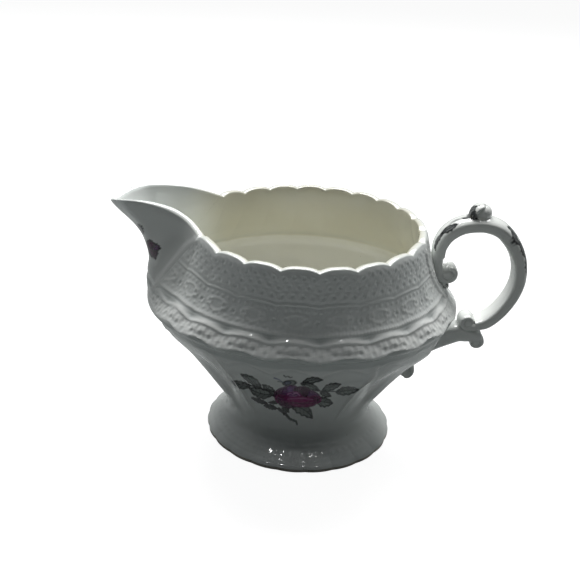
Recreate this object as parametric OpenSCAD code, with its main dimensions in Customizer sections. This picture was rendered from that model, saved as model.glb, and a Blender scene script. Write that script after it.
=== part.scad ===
// Porcelain cream jug: an oval foot, a fluted lower bowl, a moulded collar with a
// scalloped round rim, a broad pouring spout towards -X and a scrolled loop handle
// towards +X. The origin is the middle of the face that it rests on, +Z is up.
// Every luted part meets its neighbour on a shared face, so nothing overlaps.

/* [Body] */
// Height of the scallop tips of the rim above the rest face
rim_h = 90.6; // [86:0.2:96]
// Outer radius of the round rim
rim_r = 42.8; // [41:0.1:44.5]
// Half length of the oval shoulder, at the lower edge of the collar
shoulder_r = 58.6; // [56:0.1:61]
// Half length of the oval foot
foot_r = 37.8; // [36:0.1:40]
// Half length of the waist between foot and bowl
waist_r = 29.8; // [28.5:0.1:31]
// Width of the oval foot and shoulder for a length of 1
oval = 0.855; // [0.82:0.005:0.95]
// Depth of the four hollow flutes at the corners of the lower bowl
flute_d = 1.8; // [0:0.1:2.4]
// Dip of the rim between two scallops
scallop_d = 1.2; // [0:0.1:2]

/* [Foot] */
// Height of the bare ring that the jug stands on
ring_h = 1.6; // [1.2:0.1:2]
// Width of that ring
ring_w = 3.4; // [2.4:0.1:4.4]

/* [Spout] */
// Reach of the pouring lip from the middle of the foot
lip_reach = 73.8; // [70:0.1:76]
// Height of the two shoulders of the lip, its highest points
lip_h = 97.7; // [96.4:0.1:99]

/* [Handle] */
// Side to side width of the loop at its thickest
loop_w = 9.4; // [7.6:0.1:10.4]
// Side to side width of the lower strut
strut_w = 8; // [6.6:0.1:9]
// Radius of the round thumb knob
knob_r = 3.2; // [2.6:0.1:3.6]
// Radius of the curls that end the scrolls
curl_r = 3; // [2.7:0.1:3.2]

/* [Hidden] */

waist_z = 14;      // foot and bowl are luted here
collar_z = 59.4;   // bowl and collar meet here, under the scalloped edge
band_z = 62;       // above this the wall follows the rim and the lip
rim_z = 90;        // nominal rim, before scallops and lip
junction = 149;    // angle where the scallops end and the lip begins
pitch = junction / 9;

// Outer wall: height and half length
OUT = [[ring_h, foot_r - 0.2], [2.4, foot_r - 1.1], [3.4, foot_r - 2.8], [4.6, foot_r - 4.9],
       [6.2, waist_r + 1], [8.4, waist_r - 0.1], [11, waist_r - 0.4], [waist_z, waist_r - 0.1], [17, waist_r + 0.8],
       [21, waist_r + 2.5], [27, waist_r + 5.9], [34, waist_r + 10.3], [42, shoulder_r - 13],
       [50, shoulder_r - 6.4], [55, shoulder_r - 3.6], [collar_z, shoulder_r - 1.1], [60.6, shoulder_r + 0.1],
       [band_z, shoulder_r - 0.2], [64, shoulder_r - 2.3], [65.4, shoulder_r - 3.9],
       [66.2, shoulder_r - 4.5], [67.2, shoulder_r - 5.6], [68.5, shoulder_r - 6.3],
       [72, rim_r + 6.8], [77.4, rim_r + 4.2], [82, rim_r + 2.4], [86, rim_r + 1.2],
       [88.6, rim_r + 0.4], [89.5, rim_r - 0.1]];
// Crown of the rim
TOP = [[90, rim_r - 1], [90, rim_r - 1.9]];
// Inner wall, from the rim down to the floor of the bowl
INN = [[89.4, rim_r - 2.7], [84, rim_r - 1.6], [77, rim_r + 1.1], [70.6, shoulder_r - 10.9],
       [68.6, shoulder_r - 10.2], [67.2, shoulder_r - 8.5], [66, shoulder_r - 7], [64, shoulder_r - 5.9],
       [60.6, shoulder_r - 5.8], [57, shoulder_r - 7], [50, shoulder_r - 10.8], [42, shoulder_r - 16.2],
       [34, waist_r + 6.8], [27, waist_r + 2.4], [21.5, waist_r - 2], [18.4, waist_r - 8], [17, waist_r - 17]];
// Hollow under the foot, from the middle out to the ring
UND = [[11, waist_r - 17], [10.2, waist_r - 8], [7.4, waist_r - 3.6], [4, waist_r + 0.6],
       [ring_h, foot_r - 0.2 - ring_w]];
// Pouring lip: angle off the centre line, outer radius, inner radius, height
LIP = [[0, lip_reach, lip_reach - 3.1, lip_h - 3.7], [2, lip_reach - 1.3, lip_reach - 4.8, lip_h - 2.7],
       [4, lip_reach - 3.2, lip_reach - 6.8, lip_h - 1.8], [7.3, lip_reach - 6.7, lip_reach - 11.4, lip_h - 0.5],
       [9.3, 62.9, 57.1, lip_h], [11, 58.9, 53.5, lip_h - 0.1], [13, 55, 50.1, lip_h - 0.5],
       [15, 51.8, 47.5, lip_h - 1.1], [18, 48.2, 44.8, lip_h - 2.3], [22, rim_r + 2.4, rim_r - 0.5, 93.8],
       [27, rim_r + 0.7, rim_r - 2, 92], [31, rim_r, rim_r - 2.7, 90.6]];

// How far the spout stands out, as a share of its reach, up the wall
KEEL = [[0, 0], [0.06, 0.07], [0.125, 0.15], [0.25, 0.235], [0.375, 0.32], [0.5, 0.42],
        [0.625, 0.53], [0.75, 0.675], [0.875, 0.845], [1, 1]];
// The oval leans a little towards the spout at the shoulder
LEAN = [[0, 0], [ring_h, 0], [14, -0.4], [35, -0.4], [50, 0], [56, -0.9], [62, -1.1], [80, 0], [100, 0]];

// Smooth curve through the rows of k, read at t in column c
function span(t, k, i = 0) = (i >= len(k) - 2 || t < k[i + 1][0]) ? i : span(t, k, i + 1);
function curve(t, k, c) =
    let (i = span(t, k), a = k[i], b = k[i + 1], h = b[0] - a[0], u = (t - a[0]) / h,
         ma = i > 0 ? (b[c] - k[i - 1][c]) / (b[0] - k[i - 1][0]) : (b[c] - a[c]) / h,
         mb = i + 2 < len(k) ? (k[i + 2][c] - a[c]) / (k[i + 2][0] - a[0]) : (b[c] - a[c]) / h)
    (1 + 2 * u) * (1 - u) * (1 - u) * a[c] + u * (1 - u) * (1 - u) * h * ma
    + u * u * (3 - 2 * u) * b[c] + u * u * (u - 1) * h * mb;
function ease(x) = let (u = min(1, max(0, x))) u * u * (3 - 2 * u);

// Angles of the columns: fine across the spout, five to each scallop elsewhere
function off(i) = 31 * pow(i / 13, 1.35);
ANG = concat([for (i = [0 : 12]) 180 + off(i)],
             [for (i = [0 : 89]) 211 + i * (2 * junction / 90)],
             [for (i = [13 : -1 : 1]) 149 + 360 + 31 - off(i)]);
NA = len(ANG);

// Signed angle from the handle, -180 to 180
function side(t) = let (m = t % 360) m > 180 ? m - 360 : m;
// Place along the scallops: whole numbers are the points between two scallops
function place(t) = let (s = abs(side(t))) s <= junction ? s / pitch : 9 + (s - junction) / 15.5;
function dip(t) = pow(1 - abs(sin(180 * place(t))), 2);
function squash(z) = oval + (1 - oval) * min(1, max(0, (z - 60) / 30));
// Angle to the nearer end of the oval, 0 to 90
function fold(t) = acos(abs(cos(t)));
function flute(t, z) = let (f = fold(t))
    (f > 30 && f < 60 && z > 16 && z < 58) ?
        flute_d * pow(sin(6 * (f - 30)), 2) * pow(sin(180 * (z - 16) / 42), 0.8) : 0;

// Height of the top edge at an angle
function top_z(t) = let (s = abs(side(t)))
    s > junction ? curve(180 - s, LIP, 3)
                 : rim_h - scallop_d * dip(t) + (90.6 - rim_h + scallop_d) * ease((s - 132) / 17);
// How far the spout stands out from the body
function swell(t, u, inner) =
    let (f = 180 - abs(side(t)), v = min(1, max(0, u)),
         lip = f < 31 ? curve(f, LIP, inner ? 2 : 1) - (inner ? rim_r - 2.7 : rim_r) : 0,
         reach = lip_reach - rim_r - (inner ? 0.4 : 0),
         round = f < 36 ? reach * pow(1 - pow(f / 36, 2.5), 2) : 0,
         m = ease(v / 0.85))
    curve(v, KEEL, 1) * ((1 - m) * round + m * lip);

// A point of the wall, from a row [nominal height, half length] and an angle
function wall_point(row, t, inner) =
    let (z = row[0], u = (z - band_z) / (rim_z - band_z),
         h = z <= band_z ? z : band_z + u * (top_z(t) - band_z),
         d = (u > 0.8 ? 0.5 * dip(t) * ease((u - 0.8) / 0.2) * (abs(side(t)) < junction ? 1 : 0) : 0)
             - (inner ? 0.8 : 1) * flute(t, z),
         a = row[1] + d, s = u > 0 ? swell(t, u, inner) : 0)
    [curve(z, LEAN, 1) + (a + s) * cos(t), (a * squash(z) + s) * sin(t), h];

// One closed skin: under the foot, up the outside, over the rim, down to the floor
ROWS = concat([for (r = UND) [r, 0]], [for (r = OUT) [r, 0]], [for (r = [TOP[0]]) [r, 0]],
              [for (r = [TOP[1]]) [r, 1]], [for (r = INN) [r, 1]]);
NR = len(ROWS);
module skin() {
    pts = concat([for (r = ROWS) for (t = ANG) wall_point(r[0], t, r[1] == 1)],
                 [[0, 0, 11.2], [0, 0, 16.6]]);
    low = NR * NA;
    faces = concat(
        [for (i = [0 : NR - 2]) for (j = [0 : NA - 1]) let (k = (j + 1) % NA)
            [i * NA + j, (i + 1) * NA + k, i * NA + k]],
        [for (i = [0 : NR - 2]) for (j = [0 : NA - 1]) let (k = (j + 1) % NA)
            [i * NA + j, (i + 1) * NA + j, (i + 1) * NA + k]],
        [for (j = [0 : NA - 1]) [low, j, (j + 1) % NA]],
        [for (j = [0 : NA - 1]) [low + 1, (NR - 1) * NA + (j + 1) % NA, (NR - 1) * NA + j]]);
    polyhedron(pts, faces);
}
// The outside alone, filled, which trims the handle where it meets the wall
module filled() {
    rows = concat(OUT, [TOP[0]]);
    n = len(rows);
    pts = concat([for (r = rows) for (t = ANG) wall_point(r, t, false)],
                 [[0, 0, ring_h], [0, 0, rim_z]]);
    low = n * NA;
    faces = concat(
        [for (i = [0 : n - 2]) for (j = [0 : NA - 1]) let (k = (j + 1) % NA)
            [i * NA + j, (i + 1) * NA + k, i * NA + k]],
        [for (i = [0 : n - 2]) for (j = [0 : NA - 1]) let (k = (j + 1) % NA)
            [i * NA + j, (i + 1) * NA + j, (i + 1) * NA + k]],
        [for (j = [0 : NA - 1]) [low, j, (j + 1) % NA]],
        [for (j = [0 : NA - 1]) [low + 1, (n - 1) * NA + (j + 1) % NA, (n - 1) * NA + j]]);
    polyhedron(pts, faces);
}
// Everything in front of the slanting plane where the spout is luted on
module spout_side() {
    translate([-36, -100, rim_z + 0.6]) rotate([0, atan2(22, 28), 0])
        translate([-100, 0, -100]) cube([100, 200, 200]);
}

// A rod of oval section along a curve in the plane y = 0. Each row of k is
// [place, x, z, half thickness, half width], n steps, m sides, rounded ends.
function on(k, t, c) = curve(t, k, c);
// Squares up the section a little
function soft(v, e) = sign(v) * pow(abs(v), e);
module rod(k, n, m, round_start = true, round_end = true, e = 0.77) {
    t0 = k[0][0]; t1 = k[len(k) - 1][0];
    S = concat(round_start ? [[t0, -0.95, 0.31], [t0, -0.6, 0.8]] : [],
               [for (i = [0 : n]) [t0 + (t1 - t0) * i / n, 0, 1]],
               round_end ? [[t1, 0.6, 0.8], [t1, 0.95, 0.31]] : []);
    ns = len(S);
    pts = [for (s = S)
        let (st = 0.001 * (t1 - t0), a = max(t0, s[0] - st), b = min(t1, s[0] + st),
             dx = on(k, b, 1) - on(k, a, 1), dz = on(k, b, 2) - on(k, a, 2), l = norm([dx, dz]),
             tx = dx / l, tz = dz / l, h = on(k, s[0], 3), w = on(k, s[0], 4))
        for (j = [0 : m - 1]) let (c = soft(cos(360 * j / m), e) * s[2], d = soft(sin(360 * j / m), e) * s[2])
            [on(k, s[0], 1) + tx * s[1] * h - tz * h * c, w * d, on(k, s[0], 2) + tz * s[1] * h + tx * h * c]];
    faces = concat(
        [for (i = [0 : ns - 2]) for (j = [0 : m - 1]) let (q = (j + 1) % m) [i * m + j, i * m + q, (i + 1) * m + q]],
        [for (i = [0 : ns - 2]) for (j = [0 : m - 1]) let (q = (j + 1) % m) [i * m + j, (i + 1) * m + q, (i + 1) * m + j]],
        [[for (j = [m - 1 : -1 : 0]) j]], [[for (j = [0 : m - 1]) (ns - 1) * m + j]]);
    polyhedron(pts, faces);
}

lw = loop_w / 2;
sw = strut_w / 2;
LOOP = [[0, 48.2, 80.5, 2.2, lw - 0.7], [1, 48.3, 84.4, 2.4, lw - 0.5], [2, 49.9, 88.4, 2.6, lw - 0.3],
        [3, 52.4, 91.1, 2.7, lw - 0.1], [4, 55.5, 92.9, 2.7, lw], [5, 59.7, 93.8, 2.7, lw], [6, 64.1, 93.8, 2.7, lw],
        [7, 69.1, 92, 2.7, lw - 0.1], [8, 73.3, 88, 2.7, lw - 0.2], [9, 76.7, 82.8, 2.6, lw - 0.3],
        [10, 78.5, 77.6, 2.5, lw - 0.4], [11, 79, 72, 2.5, lw - 0.4], [12, 78, 66.7, 2.5, lw - 0.4],
        [13, 75.9, 61.8, 2.5, lw - 0.3], [14, 73.1, 57.5, 2.5, lw - 0.3], [15, 69.7, 54.2, 2.5, lw - 0.3],
        [16, 66.2, 52.8, 2.2, lw - 0.5]];
SCROLL = [[0, 48.2, 82, 2, lw - 0.8], [1, 48.2, 78, 2.1, lw - 0.9], [2, 49.1, 74.4, 2.2, lw - 1.1],
          [3, 51.3, 71.9, 2, lw - 1.3]];
STRUT = [[0, 69.3, 46.9, 2, sw - 0.6], [1, 66.5, 47.7, 2.6, sw - 0.4], [2, 63.4, 48.3, 3.1, sw - 0.2],
         [3, 59.6, 48.6, 4, sw], [4, 55, 46.6, 4.2, sw], [5, 50.3, 43.5, 3.7, sw - 0.2], [6, 46.3, 39.8, 3.2, sw - 0.4],
         [7, 43, 35.4, 3, sw - 0.8], [8, 41.7, 31.4, 2.3, sw - 1.2]];
LOWER = [[0, 66.2, 52.6, 1.9, lw - 0.7], [1, 64.6, 52.9, 2.1, lw - 0.9], [2, 63.4, 53.4, 2, lw - 1.3]];

// Bare ring that the jug stands on, left free of glaze
module foot_ring() color("tan") {
    outer = [for (t = ANG) let (a = foot_r - 0.2) [a * cos(t), a * oval * sin(t)]];
    inner = [for (t = ANG) let (a = foot_r - 0.2 - ring_w) [a * cos(t), a * oval * sin(t)]];
    linear_extrude(ring_h) polygon(concat(outer, inner),
        [[for (i = [0 : NA - 1]) i], [for (i = [0 : NA - 1]) NA + i]]);
}
// Flared foot, hollow underneath
module foot() color("gainsboro")
    resize([0, 0, 0]) intersection() { skin(); translate([-100, -100, -1]) cube([200, 200, waist_z + 1]); }
// Lower bowl with four hollow corners
module lower_bowl() color("whitesmoke")
    resize([0, 0, 0]) intersection() { skin(); translate([-100, -100, waist_z]) cube([200, 200, collar_z - waist_z]); }
// Collar with bands of moulding and the scalloped rim
module relief_collar() color("ghostwhite")
    resize([0, 0, 0]) difference() {
        intersection() { skin(); translate([-100, -100, collar_z]) cube([200, 200, 100]); }
        spout_side();
    }
// Pouring spout
module spout() color("white")
    resize([0, 0, 0]) intersection() {
        skin();
        translate([-100, -100, collar_z]) cube([200, 200, 100]);
        spout_side();
    }
// Loop of the handle
module loop_rod() rod(LOOP, 44, 16, true, true, 0.5);
module strut_rod() rod(STRUT, 24, 14, true, true);
module handle_loop() color("snow")
    resize([0, 0, 0]) difference() { loop_rod(); filled(); }
// Leaf scroll under the top of the handle
module scroll_shape() { rod(SCROLL, 12, 12, true, true); translate([52.6, 0, 73.6]) sphere(curl_r + 0.4, $fn = 20); }
module handle_top_scroll() color("floralwhite")
    resize([0, 0, 0]) difference() { scroll_shape(); loop_rod(); filled(); }
// Round knob for the thumb
module thumb_knob() color("ivory")
    resize([0, 0, 0]) difference() { translate([61.6, 0, 97.6]) sphere(knob_r, $fn = 28); loop_rod(); }
// Strut that ties the loop to the bowl
module handle_strut() color("seashell")
    resize([0, 0, 0]) difference() { strut_rod(); loop_rod(); filled(); }
// Curl inside the loop
module lower_shape() { rod(LOWER, 6, 12, true, true); translate([63.1, 0, 53.9]) sphere(curl_r + 0.4, $fn = 24); }
module lower_scroll() color("linen")
    resize([0, 0, 0]) difference() { lower_shape(); loop_rod(); strut_rod(); filled(); }
// Curl outside the loop, under its end
module outer_curl() color("mintcream")
    resize([0, 0, 0]) difference() { translate([67.2, 0, 45.6]) sphere(curl_r - 0.3, $fn = 24); loop_rod(); strut_rod(); }
// Curl where the strut ends on the bowl
module strut_foot_curl() color("oldlace")
    resize([0, 0, 0]) difference() { translate([42.3, 0, 29.1]) sphere(curl_r, $fn = 24); strut_rod(); filled(); }

foot_ring();
foot();
lower_bowl();
relief_collar();
spout();
handle_loop();
handle_top_scroll();
thumb_knob();
lower_scroll();
handle_strut();
outer_curl();
strut_foot_curl();
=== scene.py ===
"""Looks of the cream jug: glazed porcelain with moulded relief, printed sprays and a scrolled handle."""
import bpy
import bmesh
import math
import numpy as np
from mathutils import Matrix


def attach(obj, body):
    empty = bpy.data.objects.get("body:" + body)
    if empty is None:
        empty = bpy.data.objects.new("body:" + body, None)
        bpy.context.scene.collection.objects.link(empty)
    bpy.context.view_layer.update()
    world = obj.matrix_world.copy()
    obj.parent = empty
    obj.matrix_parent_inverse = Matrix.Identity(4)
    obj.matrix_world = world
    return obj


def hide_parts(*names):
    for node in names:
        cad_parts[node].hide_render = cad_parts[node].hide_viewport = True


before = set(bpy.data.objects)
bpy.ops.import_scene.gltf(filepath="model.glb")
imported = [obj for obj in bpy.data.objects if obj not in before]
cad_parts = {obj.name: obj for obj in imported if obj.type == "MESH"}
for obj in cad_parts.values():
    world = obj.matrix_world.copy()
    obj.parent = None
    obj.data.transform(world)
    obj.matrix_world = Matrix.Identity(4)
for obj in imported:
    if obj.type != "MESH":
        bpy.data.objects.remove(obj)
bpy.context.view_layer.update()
scene = bpy.context.scene
scene.view_settings.view_transform = "Standard"
MM = 0.001
rad = np.radians

# ---------------------------------------------------------------- camera
AZ, EL, ROLL = rad(2.8), rad(26.7), rad(2.56)
BACK = np.array([math.sin(AZ) * math.cos(EL), -math.cos(AZ) * math.cos(EL), math.sin(EL)])
SIDE = np.array([math.cos(AZ), math.sin(AZ), 0.0])
UPW = np.cross(BACK, SIDE)
EYE = np.array([-5.7, 0.0, 61.7]) + 260.0 * BACK
RIGHT = SIDE * math.cos(ROLL) + UPW * math.sin(ROLL)
UP = -SIDE * math.sin(ROLL) + UPW * math.cos(ROLL)
cam = bpy.data.objects.new("camera", bpy.data.cameras.new("camera"))
cam.data.sensor_width = 36
cam.data.lens = 36 * 676 / 580
cam.data.clip_start, cam.data.clip_end = 0.01, 30
m = Matrix.Identity(4)
for i in range(3):
    m[i][0], m[i][1], m[i][2], m[i][3] = RIGHT[i], UP[i], BACK[i], EYE[i] * MM
cam.matrix_world = m
scene.collection.objects.link(cam)
scene.camera = cam

# ---------------------------------------------------------------- form of the pot, in mm
RING_H, RING_W = 1.6, 3.4
RIM_H, RIM_R, SHOULDER, FOOT, WAIST, OVAL = 90.6, 42.8, 58.6, 37.8, 29.8, 0.855
FLUTE, SCALLOP, REACH, LIP_H = 1.8, 1.2, 73.8, 97.7
WAIST_Z, COLLAR_Z, BAND_Z, RIM_Z, JUNCTION = 14.0, 59.4, 62.0, 90.0, 149.0
PITCH = JUNCTION / 9
OUT = [[RING_H, FOOT - 0.2], [2.4, FOOT - 1.1], [3.4, FOOT - 2.8], [4.6, FOOT - 4.9], [6.2, WAIST + 1],
       [8.4, WAIST - 0.1], [11, WAIST - 0.4], [14, WAIST - 0.1], [17, WAIST + 0.8], [21, WAIST + 2.5], [27, WAIST + 5.9],
       [34, WAIST + 10.3], [42, SHOULDER - 13], [50, SHOULDER - 6.4], [55, SHOULDER - 3.6],
       [COLLAR_Z, SHOULDER - 1.1], [60.6, SHOULDER + 0.1], [BAND_Z, SHOULDER - 0.2], [64, SHOULDER - 2.3],
       [65.4, SHOULDER - 3.9], [66.2, SHOULDER - 4.5], [67.2, SHOULDER - 5.6], [68.5, SHOULDER - 6.3],
       [72, RIM_R + 6.8], [77.4, RIM_R + 4.2], [82, RIM_R + 2.4], [86, RIM_R + 1.2], [88.6, RIM_R + 0.4], [89.5, RIM_R - 0.1]]
INN = [[17, WAIST - 17], [18.4, WAIST - 8], [21.5, WAIST - 2], [27, WAIST + 2.4], [34, WAIST + 6.8],
       [42, SHOULDER - 16.2], [50, SHOULDER - 10.8], [57, SHOULDER - 7], [60.6, SHOULDER - 5.8], [64, SHOULDER - 5.9],
       [66, SHOULDER - 7], [67.2, SHOULDER - 8.5], [68.6, SHOULDER - 10.2], [70.6, SHOULDER - 10.9],
       [77, RIM_R + 1.1], [84, RIM_R - 1.6], [89.4, RIM_R - 2.7]]
LIP = [[0, REACH, REACH - 3.1, LIP_H - 3.7], [2, REACH - 1.3, REACH - 4.8, LIP_H - 2.7], [4, REACH - 3.2, REACH - 6.8, LIP_H - 1.8],
       [7.3, REACH - 6.7, REACH - 11.4, LIP_H - 0.5], [9.3, 62.9, 57.1, LIP_H], [11, 58.9, 53.5, LIP_H - 0.1],
       [13, 55, 50.1, LIP_H - 0.5], [15, 51.8, 47.5, LIP_H - 1.1], [18, 48.2, 44.8, LIP_H - 2.3],
       [22, RIM_R + 2.4, RIM_R - 0.5, 93.8], [27, RIM_R + 0.7, RIM_R - 2, 92], [31, RIM_R, RIM_R - 2.7, 90.6]]
KEEL = [[0, 0], [0.06, 0.07], [0.125, 0.15], [0.25, 0.235], [0.375, 0.32], [0.5, 0.42], [0.625, 0.53], [0.75, 0.675],
        [0.875, 0.845], [1, 1]]
LEAN = [[0, 0], [1.6, 0], [14, -0.4], [35, -0.4], [50, 0], [56, -0.9], [62, -1.1], [80, 0], [100, 0]]


def curve(t, K, c=1):
    K = np.array(K, float)
    x, y = K[:, 0], K[:, c]
    slope = np.empty(len(x))
    slope[1:-1] = (y[2:] - y[:-2]) / (x[2:] - x[:-2])
    slope[0] = (y[1] - y[0]) / (x[1] - x[0])
    slope[-1] = (y[-1] - y[-2]) / (x[-1] - x[-2])
    t = np.clip(t, x[0], x[-1])
    i = np.clip(np.searchsorted(x, t, side="right") - 1, 0, len(x) - 2)
    h = x[i + 1] - x[i]
    u = (t - x[i]) / h
    return ((1 + 2 * u) * (1 - u) ** 2 * y[i] + u * (1 - u) ** 2 * h * slope[i]
            + u * u * (3 - 2 * u) * y[i + 1] + u * u * (u - 1) * h * slope[i + 1])


def ease(x):
    u = np.clip(x, 0, 1)
    return u * u * (3 - 2 * u)


def bell(x, s):
    return np.exp(-(x / s) ** 2)


def side(t):
    m = np.mod(t, 360.0)
    return np.where(m > 180, m - 360, m)


def place(t):
    s = np.abs(side(t))
    return np.where(s <= JUNCTION, s / PITCH, 9 + (s - JUNCTION) / 15.5)


def dip(t):
    return (1 - np.abs(np.sin(np.pi * place(t)))) ** 1.5


def low_place(t):
    """Scallop count along the lower bands, which sit a little further toward the handle than those of the rim."""
    s = np.abs(side(t))
    s = s + 2.8 * ease((105 - s) / 50) * ease(s / 40)
    return np.where(s <= JUNCTION, s / PITCH, 9 + (s - JUNCTION) / 15.5)


def arch(t):
    """0 at a cusp, 1 at the middle of a scallop."""
    q = np.abs(np.sin(np.pi * low_place(t)))
    k = 0.2 + 0.8 * ease((np.abs(side(t)) - 4) / 26)
    return 0.5 + k * (0.55 * q + 0.45 * q * q - 0.5)


def squash(z):
    return OVAL + (1 - OVAL) * np.clip((z - 60) / 30, 0, 1)


def fold(t):
    return np.degrees(np.arccos(np.clip(np.abs(np.cos(rad(t))), 0, 1)))


def flute(t, z):
    f = fold(t)
    on = (f > 30) & (f < 60) & (z > 16) & (z < 58)
    zz = np.clip(z, 16.001, 57.999)
    return np.where(on, FLUTE * np.sin(rad(6 * (f - 30))) ** 2 * np.abs(np.sin(rad(180 * (zz - 16) / 42))) ** 0.8, 0)


def top_z(t):
    s = np.abs(side(t))
    plain = RIM_H - SCALLOP * dip(t) + (90.6 - RIM_H + SCALLOP) * ease((s - 132) / 17)
    return np.where(s > JUNCTION, curve(180 - s, LIP, 3), plain)


def swell(t, u, w):
    f = 180 - np.abs(side(t))
    v = np.clip(u, 0, 1)
    lip_out = np.where(f < 31, curve(f, LIP, 1) - RIM_R, 0)
    lip_in = np.where(f < 31, curve(f, LIP, 2) - (RIM_R - 2.7), 0)
    lip = lip_out * (1 - w) + lip_in * w
    rnd = np.where(f < 36, (REACH - RIM_R - 0.4 * w) * np.clip(1 - (np.clip(f, 0, 36) / 36) ** 2.5, 0, 1) ** 2, 0)
    k = ease(v / 0.85)
    return np.where(u > 0, curve(v, KEEL) * ((1 - k) * rnd + k * lip), 0)


def seam_distance(x, z):
    """Signed distance from the joint between collar and spout: positive on the collar."""
    return ((x + 36) * 28 - (z - 90.6) * 22) / 35.6


def cell(a, k, off, r):
    """Distance along the wall, in mm, from the nearest of k motifs per scallop."""
    q = a * k + off
    return (q - np.round(q)) / k * r * rad(PITCH)


def daisy(du, dz, size=1.0):
    rho, psi = np.hypot(du, dz) / size, np.arctan2(dz, du)
    return (-0.34 * bell(rho, 0.42) + 0.30 * bell(rho - 1.12, 0.42) * (0.65 + 0.35 * np.cos(6 * psi)))


def relief_collar(t, z, r):
    """Moulded ornament of the collar, as height over the plain wall."""
    a, ar, b = place(t), arch(t), low_place(t)
    rr = r * (0.95 - 0.05 * np.cos(2 * rad(t)))
    d = np.zeros(np.broadcast(t, z).shape)
    edge = 60.6 + 1.5 * ar
    # the step over the dimpled band hangs in festoons, with a raised line along it
    shift = 0.9 * ar * ease((z - 63.2) / 2.4) * (1 - ease((z - 67.6) / 2.0))
    d += (curve(z - shift, OUT) - curve(z, OUT)) * ease((149 - np.abs(side(t))) / 12)
    zf = 66.1 + 1.1 * ar
    d += 0.28 * bell(z - zf, 0.45)
    # two staggered rows of dimples
    for k, off, up, size, deep in ((4, 0.5, -1.75, 0.85, 0.26), (4, 0.0, -3.35, 0.80, 0.24)):
        du, dz = cell(b, k, off, rr), z - (zf + up)
        rho = np.hypot(du, dz) / size
        d += -deep * bell(rho, 0.80) + 0.07 * bell(rho - 1.4, 0.5)
    # groove and bead row
    d += -0.22 * bell(z - 68.4, 0.40)
    du = cell(b, 13, 0.0, rr)
    d += bell(z - 69.4, 0.40) * (0.10 + 0.24 * bell(du, 0.42))
    # middle zone: oval medallions between daisies
    du, dz = cell(a, 1, 0.5, rr), z - 73.4
    rho = np.hypot(du / 3.3, dz / 1.9)
    d += 0.30 * bell(rho - 1.0, 0.22) + 0.20 * bell(rho, 0.5) - 0.22 * bell(np.hypot(du, dz), 0.6)
    for off in (0.0, 0.27, -0.27):
        d += daisy(cell(a, 1, off, rr), z - (73.7 if off else 73.2), 0.95)
    for k, off, zc in ((6, 0.5, 76.6), (6, 0.0, 70.9)):
        rho = np.hypot(cell(a, k, off, rr), z - zc)
        d += 0.20 * bell(rho, 0.5) - 0.08 * bell(rho - 0.85, 0.3)
    d += 0.12 * bell(z - (71.8 - 0.7 * np.abs(np.sin(np.pi * a * 3))), 0.35)
    # fine line, then the lace under the rim
    d += 0.30 * bell(z - 78.3, 0.32) - 0.16 * bell(z - 78.95, 0.32) - 0.12 * bell(z - 77.7, 0.28)
    for k, off, zc, size in ((4, 0.5, 81.1, 0.95), (4, 0.0, 84.3, 0.90), (4, 0.5, 87.2, 0.78)):
        d += 0.75 * daisy(cell(a, k, off, rr), z - zc, size)
    for k, off, zc in ((4, 0.0, 80.3), (4, 0.0, 81.9), (4, 0.5, 83.5), (4, 0.5, 85.3), (4, 0.0, 86.6)):
        d += 0.18 * bell(np.hypot(cell(a, k, off, rr), z - zc), 0.55)
    d += 0.10 * np.sin(a * 2 * np.pi * 4) * np.cos((z - 81.1) * 2.05) * ease((z - 79) / 1.0)
    inside = ease((z - edge) / 0.9) * (1 - ease((z - 88.2) / 0.9))
    d *= np.where(z < 69.9, 1.0, 0.66 + 0.08 * np.sin(rad(t) * 3)) * inside
    # faint pebbled ground
    d += 0.05 * np.sin(a * 61 + z * 3.1) * np.sin(a * 43 - z * 4.3) * inside
    # acanthus leaf lying on the collar each side of the handle
    s = np.abs(side(t))
    q = (z - 66.5) / 21.5
    mid = 10.5 + 8.5 * ease(q)
    wide = 2.9 * np.sqrt(np.clip(np.sin(np.pi * np.clip(q, 0, 1) ** 0.8), 0, 1)) * (0.85 + 0.15 * np.abs(np.sin(z * 1.15)))
    lat = (s - mid) * rad(1) * rr
    leaf = np.clip(1 - (lat / np.maximum(wide, 0.05)) ** 2, 0, 1) ** 0.7
    hide = ease(leaf / 0.25)
    vein = -0.32 * bell(lat, 0.38) - 0.14 * bell(np.mod(np.abs(lat) * 0.9 - z * 0.8, 1.9) - 0.95, 0.35)
    leafy = 0.85 * leaf + hide * vein
    root = (1 - ease((s - 5.5) / 3.0)) * ease((z - 68) / 3)
    d = d * (1 - hide) * (1 - root) + leafy
    return d, edge


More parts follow.
